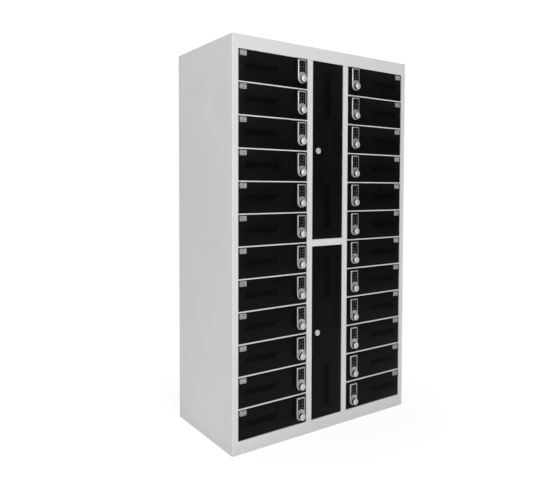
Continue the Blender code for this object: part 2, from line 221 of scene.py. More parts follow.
def new_look(name, colour, roughness, metallic=0.0, specular=0.5):
    """Start a material whose constants sit on the shader's own sockets."""
    material = bpy.data.materials.new(name)
    material.use_nodes = True
    tree = material.node_tree
    shader = tree.nodes["Principled BSDF"]
    shader.inputs["Base Color"].default_value = (*colour, 1.0)
    shader.inputs["Roughness"].default_value = roughness
    shader.inputs["Metallic"].default_value = metallic
    shader.inputs["Specular IOR Level"].default_value = specular
    place = add_node(tree, "ShaderNodeTexCoord").outputs["Object"]
    return material, tree, shader, place


def noise(tree, place, scale, detail, roughness=0.5):
    """A noise pattern of that many grains to the metre."""
    return add_node(tree, "ShaderNodeTexNoise", {"Scale": scale, "Detail": detail, "Roughness": roughness},
                    {"Vector": place}).outputs["Fac"]


def blend_colour(tree, factor, first, second):
    """Colour that runs from first to second as the factor goes from 0 to 1."""
    ramp = add_node(tree, "ShaderNodeValToRGB", links={"Fac": factor})
    ramp.color_ramp.elements[0].color = (*first, 1.0)
    ramp.color_ramp.elements[1].color = (*second, 1.0)
    ramp.color_ramp.elements[0].position = 0.3
    ramp.color_ramp.elements[1].position = 0.7
    return ramp.outputs["Color"]


def relief(tree, shader, height, depth, strength):
    """Bump the surface by a height pattern that is depth metres deep."""
    bump = add_node(tree, "ShaderNodeBump", {"Distance": depth, "Strength": strength}, {"Height": height})
    tree.links.new(bump.outputs["Normal"], shader.inputs["Normal"])


def spread(tree, factor, low, high):
    """Map a pattern's 0.3 to 0.7 onto a range."""
    return add_node(tree, "ShaderNodeMapRange",
                    {"From Min": 0.3, "From Max": 0.7, "To Min": low, "To Max": high},
                    {"Value": factor}).outputs["Result"]


def shaded(colour, share):
    """A colour made darker or lighter by a share."""
    return tuple(min(1.0, max(0.0, channel * share)) for channel in colour)


def frame_coat():
    """Pale satin powder coat: fine orange peel, faint cloudiness, and dust that gathers near the floor."""
    coats = bpy.context.scene.kiosk_coats
    colour = tuple(coats.frame_colour)
    gloss = coats.frame_roughness
    material, tree, shader, place = new_look("frame_powder_coat", colour, gloss, specular=0.35)
    clouds = blend_colour(tree, noise(tree, place, 5.0, 3.0), shaded(colour, 0.975), shaded(colour, 1.015))
    height = add_node(tree, "ShaderNodeSeparateXYZ", links={"Vector": place}).outputs["Z"]
    dust_line = add_node(tree, "ShaderNodeMapRange",
                         {"From Min": 0.0, "From Max": 0.05, "To Min": 0.5, "To Max": 0.0},
                         {"Value": height}).outputs["Result"]
    patchy = add_node(tree, "ShaderNodeMath", links={0: dust_line, 1: noise(tree, place, 60.0, 5.0)},
                      operation="MULTIPLY").outputs["Value"]
    dusty = add_node(tree, "ShaderNodeMix", {"B": (*shaded(colour, 0.72), 1.0)},
                     {"Factor": patchy, "A": clouds}, data_type="RGBA")
    tree.links.new(dusty.outputs["Result"], shader.inputs["Base Color"])
    tree.links.new(spread(tree, noise(tree, place, 14.0, 3.0), gloss - 0.05, gloss + 0.05),
                   shader.inputs["Roughness"])
    relief(tree, shader, noise(tree, place, 620.0, 2.0), 0.00005, 0.55)
    return material


def door_coat():
    """Black fine-texture powder coat with rubbed, slightly glossier patches."""
    coats = bpy.context.scene.kiosk_coats
    colour = tuple(coats.door_colour)
    gloss = coats.door_roughness
    material, tree, shader, place = new_look("door_powder_coat", colour, gloss, specular=0.095)
    mottle = blend_colour(tree, noise(tree, place, 40.0, 6.0, 0.65),
                          shaded(colour, 0.75), shaded(colour, 1.5))
    tree.links.new(mottle, shader.inputs["Base Color"])
    tree.links.new(spread(tree, noise(tree, place, 9.0, 4.0), gloss - 0.08, gloss + 0.06),
                   shader.inputs["Roughness"])
    relief(tree, shader, noise(tree, place, 1100.0, 3.0, 0.6), 0.00012, 0.8)
    return material


def liner_coat():
    """Plainer grey coat of the compartment floors and back walls, with scuffs from what slides over them."""
    colour = shaded(tuple(bpy.context.scene.kiosk_coats.frame_colour), 1.08)
    material, tree, shader, place = new_look("liner_powder_coat", colour, 0.5)
    stretched = add_node(tree, "ShaderNodeMapping", {"Scale": (40.0, 6.0, 40.0)}, {"Vector": place})
    scuffs = blend_colour(tree, noise(tree, stretched.outputs["Vector"], 3.0, 6.0, 0.7),
                          shaded(colour, 0.94), shaded(colour, 1.02))
    tree.links.new(scuffs, shader.inputs["Base Color"])
    tree.links.new(spread(tree, noise(tree, place, 25.0, 4.0), 0.42, 0.56), shader.inputs["Roughness"])
    relief(tree, shader, noise(tree, place, 620.0, 2.0), 0.00004, 0.4)
    return material


def plated_metal(name, share, roughness):
    """Satin nickel with fine drawn lines and cloudy gloss; share makes it darker, which on the bezel is
    painted shade.
    """
    colour = shaded(tuple(bpy.context.scene.kiosk_coats.plated_colour), share)
    material, tree, shader, place = new_look(name, colour, roughness, metallic=1.0)
    drawn = add_node(tree, "ShaderNodeMapping", {"Scale": (2600.0, 2600.0, 160.0)}, {"Vector": place})
    lines = noise(tree, drawn.outputs["Vector"], 1.0, 2.0)
    tone = blend_colour(tree, noise(tree, place, 130.0, 4.0), shaded(colour, 0.9), shaded(colour, 1.06))
    tree.links.new(tone, shader.inputs["Base Color"])
    tree.links.new(spread(tree, lines, roughness - 0.05, roughness + 0.05), shader.inputs["Roughness"])
    relief(tree, shader, lines, 0.00001, 0.35)
    return material


def cast_metal():
    """Cast housing of the keypad locks with fine casting grain, near-black: partly its own dark finish,
    partly painted shade and painted reflection on its sides.
    """
    # Near-black housing colour: partly own colour, partly painted shade and painted dark reflection.
    colour = (0.014, 0.014, 0.0145)
    material, tree, shader, place = new_look("lock_housing_paint", colour, 0.4, specular=0.2)
    tone = blend_colour(tree, noise(tree, place, 180.0, 5.0), shaded(colour, 0.8), shaded(colour, 1.3))
    tree.links.new(tone, shader.inputs["Base Color"])
    tree.links.new(spread(tree, noise(tree, place, 60.0, 3.0), 0.34, 0.48), shader.inputs["Roughness"])
    relief(tree, shader, noise(tree, place, 1800.0, 2.0), 0.00004, 0.5)
    return material


def soft_plastic(name, colour, roughness, specular=0.5):
    """Moulded plastic or rubber with a faint spark-eroded grain."""
    material, tree, shader, place = new_look(name, colour, roughness, specular=specular)
    tone = blend_colour(tree, noise(tree, place, 90.0, 4.0), shaded(colour, 0.85), shaded(colour, 1.2))
    tree.links.new(tone, shader.inputs["Base Color"])
    tree.links.new(spread(tree, noise(tree, place, 300.0, 3.0), roughness - 0.06, roughness + 0.06),
                   shader.inputs["Roughness"])
    relief(tree, shader, noise(tree, place, 3200.0, 2.0), 0.00002, 0.5)
    return material


def printed_ink(name, colour):
    """Screen-printed ink that has worn a little thin in places."""
    material, tree, shader, place = new_look(name, colour, 0.55)
    worn = blend_colour(tree, noise(tree, place, 900.0, 4.0), shaded(colour, 0.8), shaded(colour, 1.1))
    tree.links.new(worn, shader.inputs["Base Color"])
    tree.links.new(spread(tree, noise(tree, place, 500.0, 2.0), 0.5, 0.62), shader.inputs["Roughness"])
    return material


LOOKS = {}


def look(name):
    """Give the named finish, made on first use."""
    makers = {
        "frame coat": frame_coat,
        "door coat": door_coat,
        "liner coat": liner_coat,
        "plated metal": lambda: plated_metal("nickel_plate", 1.0, 0.6),
        # The bezel is the knobs' plating made darker: painted shade for its dimmer look.
        "shaded bezel metal": lambda: plated_metal("bezel_plate", 0.78, 0.48),
        "cast metal": cast_metal,
        "keypad rubber": lambda: soft_plastic("keypad_rubber", (0.003, 0.003, 0.0032), 0.5, 0.1),
        # Near-black, dull cloth behind the vent slots is painted shade for the compartments' dark insides.
        "painted shade cloth": lambda: soft_plastic("filter_cloth", (0.0007, 0.0007, 0.0007), 0.9, 0.02),
        "outlet plastic": lambda: soft_plastic("outlet_plastic", (0.016, 0.016, 0.018), 0.42),
        "plate plastic": lambda: soft_plastic("plate_plastic", (0.42, 0.42, 0.42), 0.45),
        "unit paint": lambda: soft_plastic("unit_paint", (0.11, 0.115, 0.12), 0.45),
        "key ink": lambda: printed_ink("key_ink", (0.42, 0.42, 0.42)),
        "plate ink": lambda: printed_ink("plate_ink", (0.02, 0.02, 0.02)),
    }
    if name not in LOOKS:
        LOOKS[name] = makers[name]()
    return LOOKS[name]


# ---------------------------------------------------------------- mesh work

def linked(name, data):
    """Put a mesh, curve, lamp or camera into the scene as an object."""
    thing = bpy.data.objects.new(name, data)
    bpy.context.scene.collection.objects.link(thing)
    return thing


def spent_mesh(name, bm):
    """Turn a bmesh into a mesh and free it."""
    mesh = bpy.data.meshes.new(name)
    bm.to_mesh(mesh)
    bm.free()
    return mesh


def loose(name, bm):
    """Put a bmesh into the scene as an unfinished object with its faces outwards."""
    bmesh.ops.recalc_face_normals(bm, faces=bm.faces)
    return linked(name, spent_mesh(name, bm))


def settle(thing, tools=()):
    """Turn an object and its modifiers into one plain mesh, and remove the object and its tools."""
    bpy.context.view_layer.update()
    graph = bpy.context.evaluated_depsgraph_get()
    mesh = bpy.data.meshes.new_from_object(thing.evaluated_get(graph))
    for spent in (thing, *tools):
        bpy.data.objects.remove(spent)
    return mesh


def finish_piece(name, mesh, finish, body, stands_for=()):
    """Make a settled mesh a piece of the object, riding on its body."""
    mesh.name = name
    mesh.materials.clear()
    mesh.materials.append(look(finish))
    thing = linked(name, mesh)
    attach(thing, body)
    if stands_for:
        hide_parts(*stands_for)
    return thing


def moved_copy(mesh, offset):
    """Copy a mesh and shift the copy."""
    copy = mesh.copy()
    copy.transform(Matrix.Translation(offset))
    return copy


def shade_by_angle(mesh):
    """Shade a mesh smooth, with its sharper edges kept crisp."""
    mesh.shade_smooth()
    mesh.set_sharp_from_angle(angle=math.radians(30))
    return mesh


def soften(thing, width):
    """Round an object's sharp edges and even out its shading."""
    bevel = thing.modifiers.new("edge", "BEVEL")
    bevel.width = width
    bevel.segments = 2
    bevel.limit_method = "ANGLE"
    bevel.angle_limit = math.radians(40)
    bevel.use_clamp_overlap = True
    thing.data.shade_smooth()
    weigh = thing.modifiers.new("shading", "WEIGHTED_NORMAL")
    weigh.keep_sharp = True
    return thing


def carve(thing, tools, operation="DIFFERENCE"):
    """Cut or join loose objects into another with Boolean modifiers."""
    for tool in tools:
        step = thing.modifiers.new("carve", "BOOLEAN")
        step.operation = operation
        step.solver = "EXACT"
        step.object = tool
        tool.hide_render = True
    return thing


def arc(centre, radius, first, last, steps):
    """Give (x, z) points along an arc, with angles in degrees from +X towards +Z."""
    angles = [math.radians(first + (last - first) * step / steps) for step in range(steps + 1)]
    return [(centre[0] + radius * math.cos(a), centre[1] + radius * math.sin(a)) for a in angles]


def rectangle(low, high):
    """Give the (x, z) points of a rectangle."""
    return [low, (high[0], low[1]), high, (low[0], high[1])]


def rounded_outline(low, high, radius, steps):
    """Give the (x, z) points of a rectangle with round corners."""
    (x0, z0), (x1, z1) = low, high
    corners = (((x1 - radius, z1 - radius), 0), ((x0 + radius, z1 - radius), 90),
               ((x0 + radius, z0 + radius), 180), ((x1 - radius, z0 + radius), 270))
    return [point for centre, start in corners for point in arc(centre, radius, start, start + 90, steps)]


def add_prism(bm, outline, front, back):
    """Add a closed prism with that (x, z) outline between two y places."""
    face = bm.faces.new([bm.verts.new((x, front, z)) for x, z in outline])
    grown = bmesh.ops.extrude_face_region(bm, geom=[face])
    bmesh.ops.translate(bm, vec=(0, back - front, 0),
                        verts=[item for item in grown["geom"] if isinstance(item, bmesh.types.BMVert)])


def prism(name, outline, front, back):
    """Make a loose object that is one prism."""
    bm = bmesh.new()
    add_prism(bm, outline, front, back)
    return loose(name, bm)


def slab(name, centre, half_width, half_height, corner, steps, front, back):
    """Make a loose round-cornered slab about an (x, z) centre."""
    x, z = centre
    return prism(name, rounded_outline((x - half_width, z - half_height), (x + half_width, z + half_height),
                                       corner, steps), front, back)


def inset_slab(name, low, high, inset, corner, steps, front, back):
    """Make a loose round-cornered slab whose outline lies an inset within a rectangle."""
    return prism(name, rounded_outline((low[0] + inset, low[1] + inset), (high[0] - inset, high[1] - inset),
                                       corner, steps), front, back)


def add_turned(bm, profile, centre, steps):
    """Add a solid turned about the Y axis through centre, from a (radius, y) profile."""
    before = set(bm.verts)
    chain = [bm.verts.new((centre[0] + radius, y, centre[1])) for radius, y in profile]
    edges = [bm.edges.new(pair) for pair in zip(chain, chain[1:])]
    bmesh.ops.spin(bm, geom=chain + edges, cent=(centre[0], 0, centre[1]), axis=(0, 1, 0),
                   angle=math.tau, steps=steps, use_duplicate=False)
    bmesh.ops.remove_doubles(bm, verts=[v for v in bm.verts if v not in before], dist=TINY)


def turned(name, profile, centre, steps):
    """Make a loose object that is one turned solid."""
    bm = bmesh.new()
    add_turned(bm, profile, centre, steps)
    return loose(name, bm)


def rod_profile(radius, back, front):
    """(radius, y) section of a plain rod."""
    return [(0, back), (radius, back), (radius, front), (0, front)]


def ring_profile(inner, outer, back, front, edge):
    """Closed (radius, y) section of a ring whose front edges are rounded."""
    return [(inner, back), (outer, back), (outer, front + edge), (outer - edge, front),
            (inner + edge, front), (inner, front + edge), (inner, back)]


def add_upright_pin(bm, place, low, high, radius):
    """Add a plain round pin along Z."""
    bmesh.ops.create_cone(bm, cap_ends=True, segments=20, radius1=radius, radius2=radius, depth=high - low,
                          matrix=Matrix.Translation((place[0], place[1], (low + high) / 2)))


def figures(text, height, depth):
    """Make plain raised figures as a mesh, centred, facing -Y."""
    font_size_per_height = 1.42
    curve = bpy.data.curves.new("figures", "FONT")
    curve.body = text
    curve.size = height * font_size_per_height
    curve.extrude = depth / 2
    curve.resolution_u = 2
    curve.align_x = "CENTER"
    curve.align_y = "CENTER"
    mesh = settle(linked("figures", curve))
    mesh.transform(Matrix.Rotation(math.radians(90), 4, "X"))
    lows = [min(v.co[axis] for v in mesh.vertices) for axis in range(3)]
    highs = [max(v.co[axis] for v in mesh.vertices) for axis in range(3)]
    middle = Vector((lows[0] + highs[0], lows[1] + highs[1], lows[2] + highs[2])) / 2
    mesh.transform(Matrix.Translation(-middle))
    return mesh


def joined(name, meshes):
    """Join meshes, each with its offset, into one loose object."""
    bm = bmesh.new()
    for mesh, offset in meshes:
        part = moved_copy(mesh, offset)
        bm.from_mesh(part)
        bpy.data.meshes.remove(part)
    bmesh.ops.remove_doubles(bm, verts=bm.verts, dist=TINY)
    return loose(name, bm)


def clean_sheet(node):
    """Loose copy of a sheet metal node with its points merged and its flat faces whole."""
    bm = bmesh.new()
    bm.from_mesh(frame["nodes"][node].data)
    bmesh.ops.remove_doubles(bm, verts=bm.verts, dist=TINY)
    bmesh.ops.dissolve_limit(bm, angle_limit=math.radians(0.5), verts=bm.verts, edges=bm.edges)
    return loose(node + "_sheet", bm)


def softened_node(node, width, finish):
    """Stand a copy of a sheet metal node, with its edges rounded, in for the node."""
    mesh = settle(soften(clean_sheet(node), width))
    finish_piece("finished_" + node, mesh, finish, "cabinet", (node,))


# ---------------------------------------------------------------- geometry node trees

def new_tree(name, inputs):
    """Start a geometry node tree with named inputs, given as {name: (kind, default)}."""
    tree = bpy.data.node_groups.new(name, "GeometryNodeTree")
    tree.interface.new_socket("Geometry", in_out="INPUT", socket_type="NodeSocketGeometry")
    for label, (kind, default) in inputs.items():
        socket = tree.interface.new_socket(label, in_out="INPUT", socket_type="NodeSocket" + kind)
        socket.default_value = default
    tree.interface.new_socket("Geometry", in_out="OUTPUT", socket_type="NodeSocketGeometry")
    return tree, tree.nodes.new("NodeGroupInput").outputs


def end_tree(tree, geometry, finish):
    """End a tree in Realize Instances and Set Material."""
    real = add_node(tree, "GeometryNodeRealizeInstances", links={"Geometry": geometry})
    dressed = add_node(tree, "GeometryNodeSetMaterial", {"Material": look(finish)},
                       {"Geometry": real.outputs["Geometry"]})
    out = tree.nodes.new("NodeGroupOutput")
    tree.links.new(dressed.outputs["Geometry"], out.inputs["Geometry"])
    return tree


def run_tree(thing, tree, **values):
    """Add a tree to an object as a modifier and set its inputs by their identifiers."""
    modifier = thing.modifiers.new(tree.name, "NODES")
    modifier.node_group = tree
    for item in tree.interface.items_tree:
        key = item.name.lower().replace(" ", "_")
        if item.in_out == "INPUT" and key in values:
            modifier[item.identifier] = values.pop(key)
    if values:
        raise ValueError(f"{tree.name} has no input named {sorted(values)}")
    return thing


def multiply(tree, first, second):
    """Product of a socket and a number or another socket."""
    made = add_node(tree, "ShaderNodeMath", links={0: first}, operation="MULTIPLY")
    if isinstance(second, (int, float)):
        made.inputs[1].default_value = second
    else:
        tree.links.new(second, made.inputs[1])
    return made.outputs["Value"]


def rounded_block(tree, width, height, corner, depth):
    """Closed block with a rounded rectangular face in the XY plane, depth tall along +Z."""
    outline = add_node(tree, "GeometryNodeCurvePrimitiveQuadrilateral",
                       links={"Width": width, "Height": height})
    round_corners = add_node(tree, "GeometryNodeFilletCurve", {"Count": 4, "Limit Radius": True},
                             {"Curve": outline.outputs["Curve"], "Radius": corner}, mode="POLY")
    face = add_node(tree, "GeometryNodeFillCurve", links={"Curve": round_corners.outputs["Curve"]},
                    mode="NGONS")
    grown = add_node(tree, "GeometryNodeExtrudeMesh", {"Individual": False},
                     {"Mesh": face.outputs["Mesh"], "Offset Scale": depth})
    back = add_node(tree, "GeometryNodeFlipFaces", links={"Mesh": face.outputs["Mesh"]})
    both = add_node(tree, "GeometryNodeJoinGeometry", links={"Geometry": grown.outputs["Mesh"]})
    tree.links.new(back.outputs["Mesh"], both.inputs["Geometry"])
    closed = add_node(tree, "GeometryNodeMergeByDistance", {"Distance": TINY},
                      {"Geometry": both.outputs["Geometry"]})
    return closed.outputs["Geometry"]


def vent_tree():
    """Cut a line of round-ended slots through the sheet that the tree is given."""
    tree, given = new_tree("Vent slots", {
        "Slots": ("Int", 12), "First": ("Vector", (0, 0, 0)), "Step": ("Vector", (0.01, 0, 0)),
        "Slot Length": ("Float", 0.03), "Slot Width": ("Float", 0.005), "Turn": ("Float", 0.0),
        "Depth": ("Float", 0.02)})
    block = rounded_block(tree, given["Slot Width"], given["Slot Length"],
                          multiply(tree, given["Slot Width"], 0.49), given["Depth"])
    shift = add_node(tree, "ShaderNodeCombineXYZ", links={"Y": multiply(tree, given["Depth"], 0.5)})
    upright = add_node(tree, "GeometryNodeTransform", {"Rotation": (math.radians(90), 0, 0)},
                       {"Geometry": block, "Translation": shift.outputs["Vector"]})
    lean = add_node(tree, "ShaderNodeCombineXYZ", links={"Y": given["Turn"]})
    leaning = add_node(tree, "GeometryNodeTransform",
                       links={"Geometry": upright.outputs["Geometry"], "Rotation": lean.outputs["Vector"]})
    line = add_node(tree, "GeometryNodeMeshLine",
                    links={"Count": given["Slots"], "Start Location": given["First"],
                           "Offset": given["Step"]}, mode="OFFSET")
    cutters = add_node(tree, "GeometryNodeInstanceOnPoints",
                       links={"Points": line.outputs["Mesh"], "Instance": leaning.outputs["Geometry"]})
    real = add_node(tree, "GeometryNodeRealizeInstances", links={"Geometry": cutters.outputs["Instances"]})
    cut = add_node(tree, "GeometryNodeMeshBoolean",
                   links={"Mesh 1": given["Geometry"], "Mesh 2": real.outputs["Geometry"]},
                   operation="DIFFERENCE", solver="EXACT")
    return end_tree(tree, cut.outputs["Mesh"], "door coat")


def key_tree():
    """Set a grid of chamfered keys on the backing that the tree is given."""
    tree, given = new_tree("Keypad keys", {
        "Columns": ("Int", 2), "Rows": ("Int", 3), "Spread X": ("Float", 0.015), "Spread Z": ("Float", 0.028),
        "Key Width": ("Float", 0.013), "Key Height": ("Float", 0.011), "Rise": ("Float", 0.001),
        "Corner": ("Float", 0.002), "Centre": ("Vector", (0, 0, 0))})
    block = rounded_block(tree, given["Key Width"], given["Key Height"], given["Corner"], given["Rise"])
    normal = tree.nodes.new("GeometryNodeInputNormal").outputs["Normal"]
    up = add_node(tree, "ShaderNodeVectorMath", {1: (0, 0, 1)}, {0: normal}, operation="DOT_PRODUCT")
    top = add_node(tree, "FunctionNodeCompare", {"B": 0.9}, {"A": up.outputs["Value"]},
                   operation="GREATER_THAN")
    cap = add_node(tree, "GeometryNodeExtrudeMesh", {"Individual": False},
                   {"Mesh": block, "Selection": top.outputs["Result"],
                    "Offset Scale": multiply(tree, given["Rise"], 0.4)})
    chamfered = add_node(tree, "GeometryNodeScaleElements", {"Scale": 0.86},
                         {"Geometry": cap.outputs["Mesh"], "Selection": cap.outputs["Top"]})
    grid = add_node(tree, "GeometryNodeMeshGrid",
                    links={"Size X": given["Spread X"], "Size Y": given["Spread Z"],
                           "Vertices X": given["Columns"], "Vertices Y": given["Rows"]})
    keys = add_node(tree, "GeometryNodeInstanceOnPoints",
                    links={"Points": grid.outputs["Mesh"], "Instance": chamfered.outputs["Geometry"]})
    placed = add_node(tree, "GeometryNodeTransform", {"Rotation": (math.radians(90), 0, 0)},
                      {"Geometry": keys.outputs["Instances"], "Translation": given["Centre"]})
    both = add_node(tree, "GeometryNodeJoinGeometry", links={"Geometry": given["Geometry"]})
    tree.links.new(placed.outputs["Geometry"], both.inputs["Geometry"])
    return end_tree(tree, both.outputs["Geometry"], "keypad rubber")


def row_tree(name, finish):
    """Repeat the shape that the tree is given along a line."""
    tree, given = new_tree(name, {"Count": ("Int", 12), "Step": ("Vector", (0, 0, -0.1))})
    line = add_node(tree, "GeometryNodeMeshLine", links={"Count": given["Count"], "Offset": given["Step"]},
                    mode="OFFSET")
    copies = add_node(tree, "GeometryNodeInstanceOnPoints",
                      links={"Points": line.outputs["Mesh"], "Instance": given["Geometry"]})
    return end_tree(tree, copies.outputs["Instances"], finish)


def border_tree(name, finish):
    """Repeat the shape that the tree is given round a rectangle in the XZ plane."""
    tree, given = new_tree(name, {"Width": ("Float", 1.0), "Height": ("Float", 1.0), "Count": ("Int", 20),
                                  "Centre": ("Vector", (0, 0, 0))})
    outline = add_node(tree, "GeometryNodeCurvePrimitiveQuadrilateral",
                       links={"Width": given["Width"], "Height": given["Height"]})
    points = add_node(tree, "GeometryNodeResampleCurve",
                      links={"Curve": outline.outputs["Curve"], "Count": given["Count"]})
    upright = add_node(tree, "GeometryNodeTransform", {"Rotation": (math.radians(90), 0, 0)},
                       {"Geometry": points.outputs["Curve"], "Translation": given["Centre"]})
    copies = add_node(tree, "GeometryNodeInstanceOnPoints",
                      links={"Points": upright.outputs["Geometry"], "Instance": given["Geometry"]})
    return end_tree(tree, copies.outputs["Instances"], finish)


# ---------------------------------------------------------------- pieces

def row_offset(row):
    """Shift from the top row's place to another row's."""
    return Vector((0, 0, -row * ROW_PITCH))


def finish_rows(prefix, side, mesh, finish, slot, mover="door", stands_in=False):
    """Finish a copy of a top row mesh in each row of one side, riding on that row's door or knob."""
    for row in range(ROWS):
        label = f"{side}_{row + 1:02d}"
        body = f"{mover}_{label}"
        finish_piece(f"{prefix}_{label}", moved_copy(mesh, row_offset(row)), finish, body,
                     (body,) if stands_in else ())


def leaf_shell(name, x_low, x_high, z_low, z_high):
    """Loose folded tray of a door: front face, turned-back edges, open to the rear."""
    leaves = bpy.context.scene.kiosk_leaves
    bm = bmesh.new()
    add_prism(bm, rectangle((x_low, z_low), (x_high, z_high)), LEAF_FRONT, LEAF_FRONT + LEAF_DEPTH)
    bmesh.ops.recalc_face_normals(bm, faces=bm.faces)
    rear = [face for face in bm.faces if face.normal.y > 0.9]
    bmesh.ops.delete(bm, geom=rear, context="FACES_ONLY")
    folds = [edge for edge in bm.edges if len(edge.link_faces) == 2]
    bmesh.ops.bevel(bm, geom=folds, offset=leaves.fold_radius, segments=3, profile=0.5, affect="EDGES")
    thing = linked(name, spent_mesh(name, bm))
    wall = thing.modifiers.new("wall", "SOLIDIFY")
    wall.thickness = leaves.sheet
    wall.offset = -1
    wall.use_even_offset = True
    return thing


def add_hinge_pins(mesh, x, z_low, z_high):
    """Join the two hinge pins of a door to its mesh, with a small bush at each."""
    bm = bmesh.new()
    bm.from_mesh(mesh)
    for reach, root, radius in ((PIN_REACH, 0.001, PIN_RADIUS), (0.0011, 0.0004, PIN_RADIUS + 0.001)):
        add_upright_pin(bm, (x, PIVOT.y), z_low - reach, z_low + root, radius)
        add_upright_pin(bm, (x, PIVOT.y), z_high - root, z_high + reach, radius)
    bm.to_mesh(mesh)
    bm.free()
    return mesh


def vent_filter(low, high):
    """Mesh of a near-black shallow pan that covers a group of slots from behind a door's sheet, as painted
    shade.
    """
    depth, rim, floor = 0.0034, 0.0025, 0.0008
    seat = LEAF_FRONT + bpy.context.scene.kiosk_leaves.sheet + SKIN / 2
    pan = inset_slab("filter", low, high, 0, 0.004, 4, seat, seat + depth)
    pocket = inset_slab("pocket", low, high, rim, 0.003, 4, seat - 0.001, seat + depth - floor)
    return shade_by_angle(settle(carve(pan, (pocket,)), (pocket,)))


def build_compartment_doors():
    """Every compartment door: folded tray, slanted vent slots, hinge pins and the near-black pan of painted
    shade behind the slots.
    """
    sizes = bpy.context.scene.kiosk_leaves
    vents = vent_tree()
    screen_margin, screen_half = 0.017, 0.021
    middle = PIVOT.z
    z_low, z_high = middle - LEAF_HALF_HEIGHT, middle + LEAF_HALF_HEIGHT
    first = sizes.first_slot - screen_margin
    last = sizes.first_slot + (sizes.slots - 1) * sizes.slot_pitch + screen_margin
    for side, sign in SIDES.items():
        edge = sign * LEAF_HIGH.x
        x_low, x_high = sorted((edge, sign * LEAF_LOW.x))
        tray = leaf_shell(f"tray_{side}", x_low, x_high, z_low, z_high)
        run_tree(tray, vents, slots=sizes.slots, first=(edge - sign * sizes.first_slot, LEAF_FRONT, middle),
                 step=(-sign * sizes.slot_pitch, 0, 0), slot_length=sizes.slot_length,
                 slot_width=sizes.slot_width, turn=-sign * sizes.slot_lean)
        mesh = shade_by_angle(add_hinge_pins(settle(tray), sign * PIVOT.x, z_low, z_high))
        x_first, x_last = sorted((edge - sign * first, edge - sign * last))
        screen = vent_filter((x_first, middle - screen_half), (x_last, middle + screen_half))
        finish_rows("leaf", side, mesh, "door coat", "door_powder_coat", stands_in=True)
        # The near-black pans behind the slots are painted shade.
        finish_rows("vent_filter", side, screen, "painted shade cloth", "door_powder_coat")


def lock_outline(centre_x, inset):
    """The locks' outline: tight corners at the top, a half circle round the knob at the bottom."""
    corner = 0.0042
    radius = LOCK_RADIUS - inset
    top = LOCK_TOP - inset
    outline = arc((centre_x, LOCK_BOTTOM + LOCK_RADIUS), radius, 180, 360, 28)
    outline += arc((centre_x + radius - corner, top - corner), corner, 0, 90, 5)
    return outline + arc((centre_x - radius + corner, top - corner), corner, 90, 180, 5)


def window_outline(centre_x):
    """The keypad's window in the bezel: its lower edge arches over the knob's boss."""
    sizes = bpy.context.scene.kiosk_locks
    corner, rise = 0.0015, 0.0075
    half = sizes.window_width / 2
    bottom = WINDOW_TOP - sizes.window_height
    swing = math.degrees(math.atan2(half, (half * half - rise * rise) / (2 * rise)))
    radius = (half * half + rise * rise) / (2 * rise)
    outline = arc((centre_x, bottom + rise - radius), radius, 90 + swing, 90 - swing, 14)
    outline += arc((centre_x + half - corner, WINDOW_TOP - corner), corner, 0, 90, 3)
    return outline + arc((centre_x - half + corner, WINDOW_TOP - corner), corner, 90, 180, 3)


def domed_bezel(centre_x, front, back):
    """Loose plate with the locks' outline whose front edge is rounded over its full thickness."""
    round_over, root = back - front, 0.0003
    turns = [math.radians(15 * step) for step in range(7)]
    layers = [(0.0, back + root)]
    layers += [(round_over * (1 - math.cos(turn)), back - round_over * math.sin(turn)) for turn in turns]
    bm = bmesh.new()
    rows = [[bm.verts.new((x, y, z)) for x, z in lock_outline(centre_x, inset)] for inset, y in layers]
    for lower, upper in zip(rows, rows[1:]):
        for at, corner in enumerate(lower):
            bm.faces.new((lower[at - 1], corner, upper[at], upper[at - 1]))
    bm.faces.new(rows[0])
    bm.faces.new(rows[-1])
    return loose("bezel", bm)


def spindle_hole(centre_x):
    """Loose cutter for the hole that the knob's spindle turns in."""
    return turned("spindle_hole", rod_profile(0.0068, HOUSING_FRONT + 0.06, HOUSING_FRONT - THROUGH),
                  (centre_x, SPINDLE.z), 32)


def lock_meshes(sign, keys):
    """Meshes of one keypad lock at the top row: housing, bezel, keypad and key figures."""
    sizes = bpy.context.scene.kiosk_locks
    x = sign * SPINDLE.x
    face = HOUSING_FRONT + sizes.bezel
    housing = prism("housing", lock_outline(x, LOCK_GAP), face, LEAF_FRONT - SKIN)
    hole = spindle_hole(x)
    housing_mesh = settle(soften(carve(housing, (hole,)), 0.0009), (hole,))

    bezel = domed_bezel(x, HOUSING_FRONT, face)
    window = prism("window", window_outline(x), HOUSING_FRONT - THROUGH, face + THROUGH)
    hole = spindle_hole(x)
    bezel_mesh = shade_by_angle(settle(carve(bezel, (window, hole)), (window, hole)))

    backing_front, key_rise = face - 0.0016, 0.0007
    backing_bottom, keys_middle = SPINDLE.z + 0.023, LOCK_TOP - 0.0303
    spread_x, spread_z = 0.0138, 0.0266
    half = sizes.window_width / 2 - LOCK_GAP
    backing = inset_slab("backing", (x - half, backing_bottom), (x + half, WINDOW_TOP - LOCK_GAP), 0,
                         0.0012, 2, backing_front, face - SKIN)
    centre = Vector((x, backing_front, keys_middle))
    run_tree(backing, keys, columns=sizes.columns, rows=sizes.rows, spread_x=spread_x, spread_z=spread_z,
             key_width=sizes.key_width, key_height=sizes.key_height, rise=key_rise, corner=0.0018,
             centre=tuple(centre))
    keypad_mesh = shade_by_angle(settle(backing))

    figure_depth, figure_stand_off = 0.00012, 1.5 * key_rise
    placed = []
    for index in range(sizes.columns * sizes.rows):
        row, column = divmod(index, sizes.columns)
        offset = Vector((spread_x * (column / (sizes.columns - 1) - 0.5), -figure_stand_off,
                         spread_z * (0.5 - row / (sizes.rows - 1))))
        placed.append((figures(str(index + 1), sizes.figure, figure_depth), centre + offset))
    figures_mesh = settle(joined("key_figures", placed))
    return {"lock_housing": housing_mesh, "lock_bezel": bezel_mesh, "keypad": keypad_mesh,
            "key_figures": figures_mesh}


